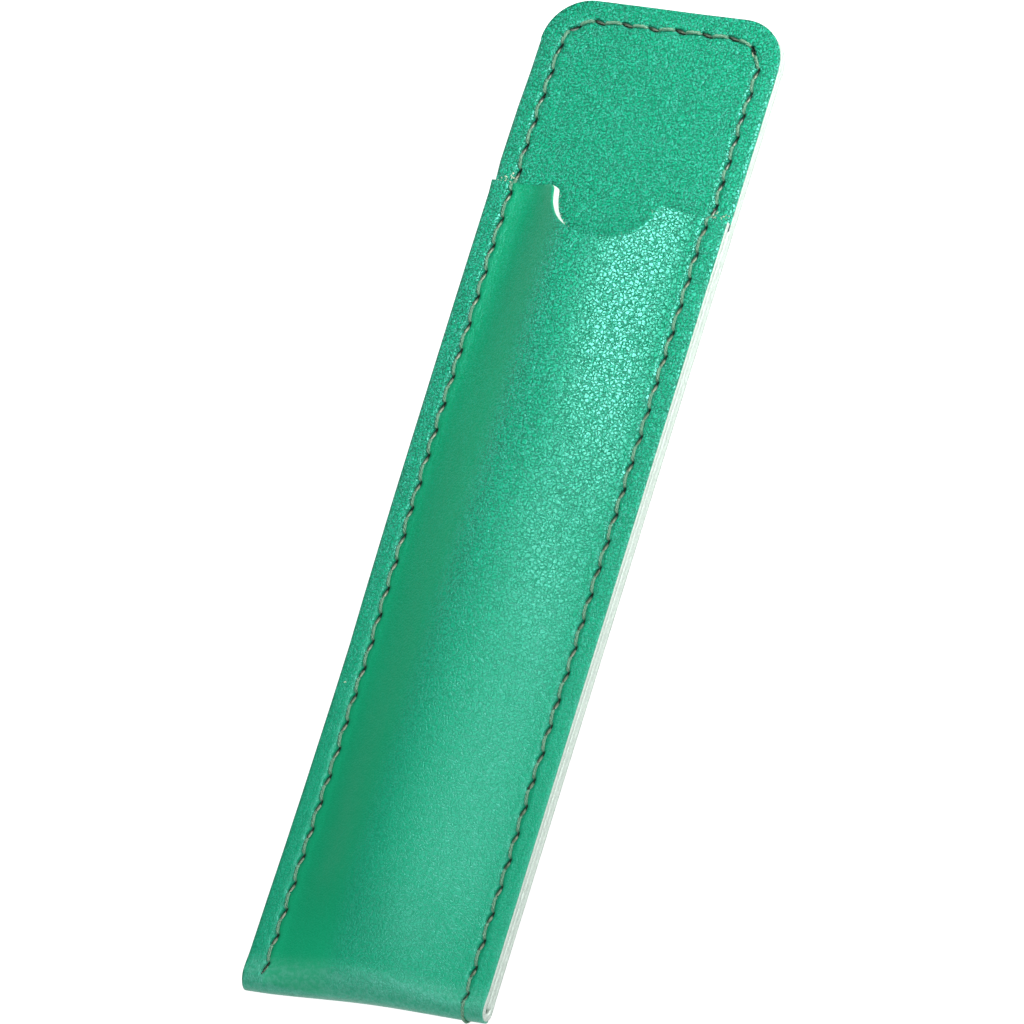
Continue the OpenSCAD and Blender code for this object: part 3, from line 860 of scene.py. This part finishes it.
def twisted(name, path, sides=7, plies=3, step=0.16):
    """A thread of several plies laid round one another along a path."""
    line, at = smooth_path(path, step)
    tangent = np.gradient(line, axis=0)
    tangent /= np.linalg.norm(tangent, axis=1)[:, None]
    side = np.cross(tangent, (0.0, 0.0, 1.0))
    weak = np.linalg.norm(side, axis=1) < 0.2
    side[weak] = np.cross(tangent[weak], (0.3, 1.0, 0.0))
    side /= np.linalg.norm(side, axis=1)[:, None]
    for i in range(1, len(side)):
        s = side[i - 1] - tangent[i] * (side[i - 1] @ tangent[i])
        s /= np.linalg.norm(s)
        side[i] = s
    over = np.cross(side, tangent)
    lay = PLY_R * 1.12
    points, faces = [], []
    a = np.linspace(0, 2 * np.pi, sides, endpoint=False)
    n = len(line)
    for k in range(plies):
        phase = 2 * np.pi * (at / TURN_L + k / plies) + 0.35 * np.sin(at / 3.1 + k)
        centre = line + lay * (np.cos(phase)[:, None] * side + np.sin(phase)[:, None] * over)
        r = PLY_R * (1 + 0.06 * np.sin(at * 2.3 + 5 * k))
        circle = np.cos(a)[None, :, None] * side[:, None, :] + np.sin(a)[None, :, None] * over[:, None, :]
        ring = centre[:, None, :] + r[:, None, None] * circle
        start = sum(len(p) for p in points)
        points.append(ring.reshape(-1, 3))
        i, j = np.meshgrid(np.arange(n - 1), np.arange(sides), indexing="ij")
        row, above, j2 = i * sides, (i + 1) * sides, (j + 1) % sides
        quads = np.stack([row + j, row + j2, above + j2, above + j], -1).reshape(-1, 4)
        faces += (quads + start).tolist()
        faces.append(list(range(start, start + sides))[::-1])
        faces.append(list(range(start + (n - 1) * sides, start + n * sides)))
    return make_object(name, np.concatenate(points), faces, THREAD)


# A stitch from hole to hole: the share of its length, and its middle's height over the leather's face
STITCH = ((0.0, -0.9), (0.04, -0.5), (0.11, -0.08), (0.25, 0.08), (0.5, 0.12), (0.75, 0.08), (0.89, -0.08),
          (0.96, -0.5), (1.0, -0.9))


def stitch_path(over, lock_drop, crossing_hump):
    """The thread's middle line through every hole. over turns a height over a face into z."""
    path = []
    for i, (hx, hh) in enumerate(HOLES[:, :2]):
        lock = (BACK_Z + (FRONT_Z if IN_POCKET[i] else TAB_Z)) / 2
        path.append((hx, hh, lock - lock_drop))
        if i == len(HOLES) - 1:
            return path
        start, end = HOLES[i, :2] + ENTRY * ENTRY_AXIS[i], HOLES[i + 1, :2] - ENTRY * ENTRY_AXIS[i + 1]
        faces = [FRONT_Z if pocket else TAB_Z for pocket in (IN_POCKET[i], IN_POCKET[i + 1])]
        for t, s in STITCH:
            x, h = mix(start, end, t)
            face = mix(faces[0], faces[1], float(ease((t - 0.36) / 0.28)))
            hump = crossing_hump * (faces[0] != faces[1]) * math.exp(-((t - 0.5) / 0.16) ** 2)
            path.append((x, h, over(face, s + hump)))


needle_line = stitch_path(lambda face, s: face + s, 0.0, 0.2)
# The needle thread ends over the fold at the right, and goes into the same hole from the back
last_x, last_h = HOLES[-1, :2]
needle_line += [(last_x, last_h - 0.35, FRONT_Z - 0.5), (last_x + 0.06, last_h - 0.75, FRONT_Z + 0.05)]
for wrap in np.linspace(75, -80, 9):
    wrap_r = FOLD_R + 0.14
    needle_line.append((last_x + 0.1, FOLD_R - wrap_r * math.cos(math.radians(wrap)),
                        BACK_Z + FOLD_R + wrap_r * math.sin(math.radians(wrap))))
needle_line += [(last_x + 0.06, last_h - 0.5, BACK_Z - 0.05), (last_x, last_h - 0.1, BACK_Z + 0.7)]
bobbin_line = stitch_path(lambda face, s: BACK_Z - s, 0.35, 0.0)


def in_place(line):
    line = np.array(line)
    return np.stack([sway(line[:, 0], line[:, 1]), FOOT_Y + line[:, 1], line[:, 2]], 1)


needle = twisted("needle_thread_twist", in_place(needle_line))
bobbin = twisted("bobbin_thread_twist", in_place(bobbin_line))


def fibre_tufts(name, count):
    """Loose fibres of the white base along the notch's cut, each a thin bent spike."""
    points, faces = [], []
    sides, n = 4, 6
    a = np.linspace(0, 2 * np.pi, sides, endpoint=False)
    ring = np.stack([np.cos(a), 0.3 * np.sin(a), np.sin(a)], 1)
    for _ in range(count):
        x = NOTCH_X + MEET_X * math.sin(rng.uniform(-1.5, 1.5))
        depth, length, r = rng.uniform(0.45, 1.2), rng.uniform(0.2, 0.55), rng.uniform(0.02, 0.045)
        foot_v = front_v(float(edge_h(x)) - 0.05)
        foot = strip_point(np.array([x]), np.array([foot_v]), np.array([depth]))[0]
        out = np.array([(NOTCH_X - x) / NOTCH_R, 0.6, 0.0]) + rng.normal(0, 0.35, 3)
        bend = rng.normal(0, 0.35, 3)
        t = np.linspace(0, 1, n)[:, None]
        line = foot + length * (t * out + t ** 2 * bend)
        start = len(points)
        for i, centre in enumerate(line):
            size = r * (1 - 0.8 * i / (n - 1))
            points += (centre + size * ring).tolist()
        for i in range(n - 1):
            faces += band(start + i * sides, start + (i + 1) * sides, sides)
        faces.append(tuple(range(start, start + sides))[::-1])
        faces.append(tuple(range(start + (n - 1) * sides, start + n * sides)))
    return make_object(name, points, faces, WHITE)


tufts = fibre_tufts("cut_edge_fibres", 90)

# What rides, and what it replaces
NODES = ((strip_film, "outer_strip_film", "green_film"),
         (strip_base, "outer_strip_base", "white_base"),
         (panel_film, "inner_panel_film", "green_film"),
         (panel_base, "inner_panel_base", "white_base"),
         (back_glue, "panel_glue", "glue"),
         (left_glue, "left_margin_glue", "glue"),
         (right_glue, "right_margin_glue", "glue"),
         (needle, "needle_thread", "thread"),
         (bobbin, "bobbin_thread", "thread"))
for piece, node, slot in NODES:
    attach(piece, "root")
    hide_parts(node)
for piece, slot in ((glue_flecks, "glue"), (tufts, "white_base")):
    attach(piece, "root")

# Floor, camera and light
floor_mesh = bpy.data.meshes.new("floor")
floor_mesh.from_pydata([(-4, -4, 0), (4, -4, 0), (4, 4, 0), (-4, 4, 0)], [], [(0, 1, 2, 3)])
floor = bpy.data.objects.new("floor", floor_mesh)
bpy.context.scene.collection.objects.link(floor)
floor_material, floor_tree, floor_shader = new_material("pale_floor")
floor_shader.inputs["Base Color"].default_value = (0.5, 0.5, 0.5, 1)
floor_shader.inputs["Roughness"].default_value = 0.9
floor_shader.inputs["Specular IOR Level"].default_value = 0.0

# The floor glows only where it is seen, straight or mirrored, so it looks white and lights nothing
FLOOR_GLOW = 0.8
floor_nodes = Graph(floor_tree)
ray = floor_nodes.node("ShaderNodeLightPath").outputs
seen = floor_nodes.largest(ray["Is Camera Ray"], ray["Is Glossy Ray"], ray["Is Transmission Ray"])
glow = floor_nodes.times(seen, FLOOR_GLOW)
floor_shader.inputs["Emission Color"].default_value = (1, 1, 1, 1)
floor_nodes.join(glow, floor_shader.inputs["Emission Strength"])
floor_mesh.materials.append(floor_material)

# A long lens at the photograph's angle, far enough away that the sleeve's sides stay nearly parallel
TOWARDS = Vector((0.39713, -0.35137, 0.84784)).normalized()
DISTANCE, ROLL, FOCAL_PX, SENSOR = 2500.0, math.radians(17.364), 16809.0, 36.0
PICTURE_PX, CENTRE_PX = 1024, (524.97, 508.41)
target = Vector((0, SLEEVE_L / 2 + FOOT_Y, BACK_Z))
right = (-TOWARDS).cross(Vector((0, 1, 0))).normalized()
up = right.cross(-TOWARDS)
right_r = right * math.cos(ROLL) + up * math.sin(ROLL)
up_r = up * math.cos(ROLL) - right * math.sin(ROLL)
off_x, off_y = [(px - PICTURE_PX / 2) * DISTANCE / FOCAL_PX for px in CENTRE_PX]
target += up_r * off_y - right_r * off_x
camera_data = bpy.data.cameras.new("camera")
camera_data.sensor_width = SENSOR
camera_data.lens = FOCAL_PX * SENSOR / PICTURE_PX
camera_data.clip_start, camera_data.clip_end = 0.1, 30
camera = bpy.data.objects.new("camera", camera_data)
bpy.context.scene.collection.objects.link(camera)
camera.location = (target + TOWARDS * DISTANCE) * MM
basis = camera.matrix_world.to_3x3()
basis.col[0], basis.col[1], basis.col[2] = right_r, up_r, TOWARDS
camera.rotation_mode = "QUATERNION"
camera.rotation_quaternion = basis.to_quaternion()
bpy.context.scene.camera = camera


def area_light(name, direction, distance, size, watts, aim):
    """A square light that shines at a place from a direction. Distance, size and place are in metres."""
    data = bpy.data.lights.new(name, "AREA")
    data.shape, data.size, data.energy = "SQUARE", size, watts
    light = bpy.data.objects.new(name, data)
    bpy.context.scene.collection.objects.link(light)
    way = Vector(direction).normalized()
    light.location = Vector(aim) + way * distance
    light.rotation_mode = "QUATERNION"
    light.rotation_quaternion = way.to_track_quat("Z", "Y")


MOUTH_PLACE, MIDDLE_PLACE, FOOT_PLACE = (0.004, 0.045, 0.01), (0, 0.04, 0.004), (0, -0.07, 0.01)
area_light("near_box", (0.34, 0.36, 0.87), 0.14, 0.06, 0.13, MOUTH_PLACE)
area_light("mouth_box", (0.47, 0.44, 0.76), 0.30, 0.12, 0.48, MOUTH_PLACE)
area_light("right_box", (0.80, 0.35, 0.48), 0.35, 0.22, 0.60, MOUTH_PLACE)
area_light("fill_box", (0.18, -0.45, 0.875), 0.9, 0.3, 4.2, MIDDLE_PLACE)
area_light("foot_box", (0.35, -0.70, 0.62), 0.30, 0.10, 0.20, FOOT_PLACE)

# The world is white for the camera and dim for the sleeve, whose satin film would look washed out in it
world = bpy.data.worlds.new("studio")
bpy.context.scene.world = world
world.use_nodes = True
nodes, links = world.node_tree.nodes, world.node_tree.links
sky = nodes["Background"]
sky.inputs["Color"].default_value = (1, 1, 1, 1)
world_ray = nodes.new("ShaderNodeLightPath")
strength = nodes.new("ShaderNodeMapRange")
links.new(world_ray.outputs["Is Camera Ray"], strength.inputs["Value"])
strength.inputs["To Min"].default_value = 0.06
strength.inputs["To Max"].default_value = 1.0
links.new(strength.outputs[0], sky.inputs["Strength"])
bpy.context.scene.view_settings.view_transform = "Standard"
